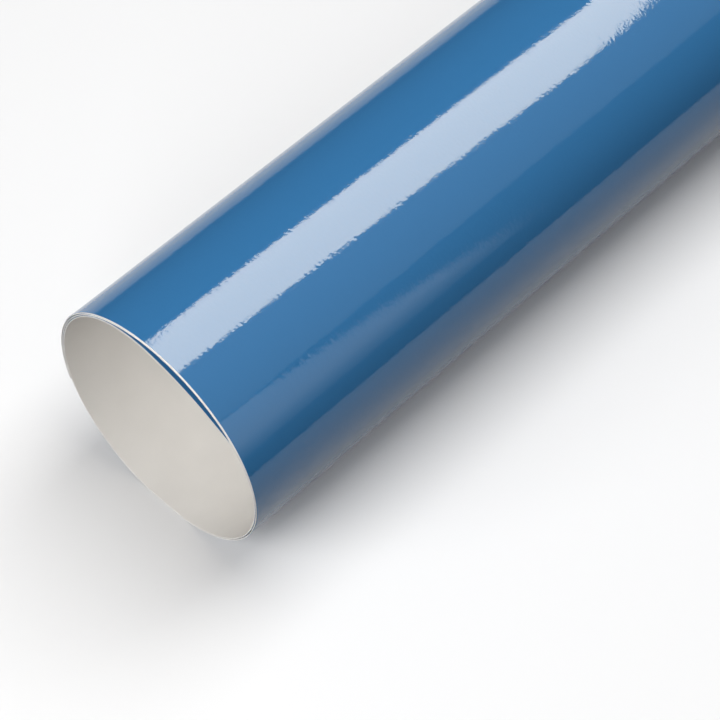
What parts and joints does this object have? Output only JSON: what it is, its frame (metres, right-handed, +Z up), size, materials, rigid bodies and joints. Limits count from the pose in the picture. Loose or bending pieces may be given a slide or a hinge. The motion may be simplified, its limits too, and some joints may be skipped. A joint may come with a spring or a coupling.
{
  "type": "self-adhesive vinyl roll",
  "caption": "Coreless roll of glossy blue self-adhesive sign vinyl on white release liner, lying on its side, with a sprung inner end and a tail that unrolls and peels.",
  "frame": {"origin": "centre of the footprint: halfway along the roll, midway between its sides, on the plane it rests on", "axes": "+X along the roll; +Z up; seen from the -X end the web winds anticlockwise outwards"},
  "size_m": [0.305, 0.081, 0.0785],
  "materials": {
    "face_film": "glossy calendered vinyl with a faint orange peel",
    "adhesive": "clear tacky adhesive coat",
    "release_liner": "uncoated off-white back of a silicone-coated release paper"
  },
  "bodies": {
    "wound_roll": {"film_wound": "face_film", "adhesive_wound": "adhesive", "liner_wound": "release_liner"},
    "inner_lift": {"film_inner_lift": "face_film", "adhesive_inner_lift": "adhesive", "liner_inner_lift": "release_liner"},
    "inner_ease": {"film_inner_ease": "face_film", "adhesive_inner_ease": "adhesive", "liner_inner_ease": "release_liner"},
    "inner_edge": {"film_inner_edge": "face_film", "adhesive_inner_edge": "adhesive", "liner_inner_edge": "release_liner"},
    "tail_1": {"film_tail_1": "face_film", "adhesive_tail_1": "adhesive", "liner_tail_1": "release_liner"},
    "tail_2": {"film_tail_2": "face_film", "adhesive_tail_2": "adhesive", "liner_tail_2": "release_liner"},
    "tail_3": {"film_tail_3": "face_film", "adhesive_tail_3": "adhesive", "liner_tail_3": "release_liner"},
    "tail_4": {"film_tail_4": "face_film", "adhesive_tail_4": "adhesive", "liner_tail_4": "release_liner"},
    "tail_end": {"film_tail_end": "face_film", "adhesive_tail_end": "adhesive", "liner_tail_end": "release_liner"},
    "peel_1": {"film_peel_1": "face_film", "adhesive_peel_1": "adhesive"},
    "peel_2": {"film_peel_2": "face_film", "adhesive_peel_2": "adhesive"},
    "peel_3": {"film_peel_3": "face_film", "adhesive_peel_3": "adhesive"}
  },
  "joints": [
    {"name": "unroll_1", "type": "hinge", "parent": "wound_roll", "child": "tail_1", "pos_m": [0, -0.00897, 0.0776], "axis": [1, 0, 0], "range_deg": [0, 30], "stiffness_Nm_per_rad": 0.06},
    {"name": "unroll_2", "type": "hinge", "parent": "tail_1", "child": "tail_2", "pos_m": [0, 0.00601, 0.07813], "axis": [1, 0, 0], "range_deg": [0, 30]},
    {"name": "unroll_3", "type": "hinge", "parent": "tail_2", "child": "tail_3", "pos_m": [0, 0.02026, 0.0735], "axis": [1, 0, 0], "range_deg": [0, 30]},
    {"name": "unroll_4", "type": "hinge", "parent": "tail_3", "child": "tail_4", "pos_m": [0, 0.03072, 0.0654], "axis": [1, 0, 0], "range_deg": [0, 30]},
    {"name": "unroll_5", "type": "hinge", "parent": "tail_4", "child": "tail_end", "pos_m": [0, 0.0376, 0.05433], "axis": [1, 0, 0], "range_deg": [0, 30]},
    {"name": "peel_back_1", "type": "hinge", "parent": "tail_end", "child": "peel_1", "pos_m": [0, 0.03966, 0.0476], "axis": [1, 0, 0], "range_deg": [0, 50]},
    {"name": "peel_back_2", "type": "hinge", "parent": "peel_1", "child": "peel_2", "pos_m": [0, 0.04051, 0.04061], "axis": [1, 0, 0], "range_deg": [0, 50]},
    {"name": "peel_back_3", "type": "hinge", "parent": "peel_2", "child": "peel_3", "pos_m": [0, 0.04014, 0.03353], "axis": [1, 0, 0], "range_deg": [0, 50]},
    {"name": "inner_flex_1", "type": "hinge", "parent": "wound_roll", "child": "inner_lift", "pos_m": [0, 0.02796, 0.06624], "axis": [1, 0, 0], "range_deg": [0, 20], "stiffness_Nm_per_rad": 0.06},
    {"name": "inner_flex_2", "type": "hinge", "parent": "inner_lift", "child": "inner_ease", "pos_m": [0, 0.00017, 0.07473], "axis": [1, 0, 0], "range_deg": [0, 20]},
    {"name": "inner_flex_3", "type": "hinge", "parent": "inner_ease", "child": "inner_edge", "pos_m": [0, -0.0235, 0.06658], "axis": [1, 0, 0], "range_deg": [0, 20]}
  ],
  "couplings": [
    {"joint": "unroll_2", "follows": "unroll_1", "ratio": 1},
    {"joint": "unroll_3", "follows": "unroll_1", "ratio": 1},
    {"joint": "unroll_4", "follows": "unroll_1", "ratio": 1},
    {"joint": "unroll_5", "follows": "unroll_1", "ratio": 1},
    {"joint": "peel_back_2", "follows": "peel_back_1", "ratio": 1},
    {"joint": "peel_back_3", "follows": "peel_back_1", "ratio": 1},
    {"joint": "inner_flex_2", "follows": "inner_flex_1", "ratio": 1},
    {"joint": "inner_flex_3", "follows": "inner_flex_1", "ratio": 1}
  ]
}
